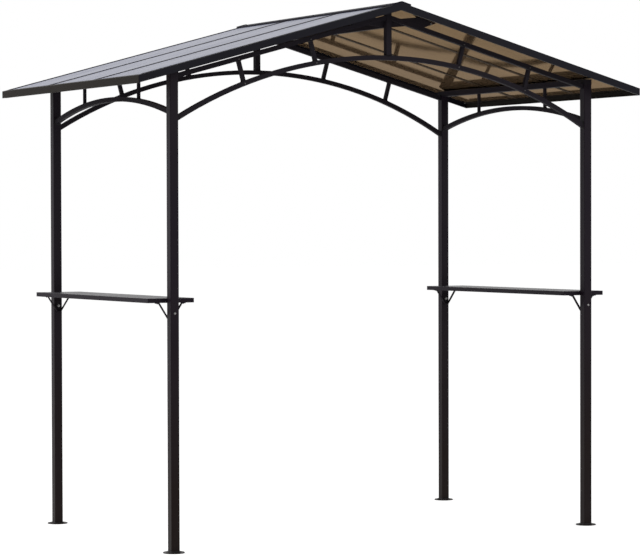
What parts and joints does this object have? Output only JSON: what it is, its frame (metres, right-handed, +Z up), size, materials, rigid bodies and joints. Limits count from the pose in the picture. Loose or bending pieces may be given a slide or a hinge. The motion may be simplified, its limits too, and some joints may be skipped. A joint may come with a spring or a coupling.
{
  "type": "grill gazebo",
  "caption": "Hard-top metal grill gazebo: posts on round feet carry arched trusses and a low gable roof of brown sheets, with a narrow side shelf between the posts at each end",
  "frame": {"origin": "on the ground, midway between the four posts, below the middle of the ridge", "axes": "+X to the right along the long side, from the left shelf to the right shelf; +Y to the back, along the ridge; +Z up"},
  "size_m": [2.46, 1.48, 2.3],
  "materials": {
    "frame_tube": "satin powder coat, brown black",
    "roof_frame": "satin powder coat, blue black",
    "roof_sheet": "glossy brown twin-wall sheet",
    "shelf_sheet": "satin powder coat, dark grey"
  },
  "bodies": {
    "root": {"front_left_lower_post": "frame_tube", "front_left_upper_post": "frame_tube", "front_left_rafter": "frame_tube", "front_right_lower_post": "frame_tube", "front_right_upper_post": "frame_tube", "front_right_rafter": "frame_tube", "back_left_lower_post": "frame_tube", "back_left_upper_post": "frame_tube", "back_left_rafter": "frame_tube", "back_right_lower_post": "frame_tube", "back_right_upper_post": "frame_tube", "back_right_rafter": "frame_tube", "front_arch": "frame_tube", "back_arch": "frame_tube", "left_arch": "frame_tube", "right_arch": "frame_tube", "front_king_post": "frame_tube", "back_king_post": "frame_tube", "front_truss_struts": "frame_tube", "back_truss_struts": "frame_tube", "left_side_struts": "frame_tube", "right_side_struts": "frame_tube", "left_header": "frame_tube", "right_header": "frame_tube", "ridge_beam": "frame_tube", "front_roof_spacers": "frame_tube", "back_roof_spacers": "frame_tube", "left_shelf_braces": "frame_tube", "right_shelf_braces": "frame_tube", "front_left_rake": "roof_frame", "front_right_rake": "roof_frame", "back_left_rake": "roof_frame", "back_right_rake": "roof_frame", "left_eave": "roof_frame", "right_eave": "roof_frame", "ridge_rail": "roof_frame", "ridge_cap": "roof_frame", "left_seam_strips": "roof_frame", "right_seam_strips": "roof_frame", "left_roof_panels": "roof_sheet", "right_roof_panels": "roof_sheet", "left_shelf": "shelf_sheet", "right_shelf": "shelf_sheet"}
  },
  "joints": []
}
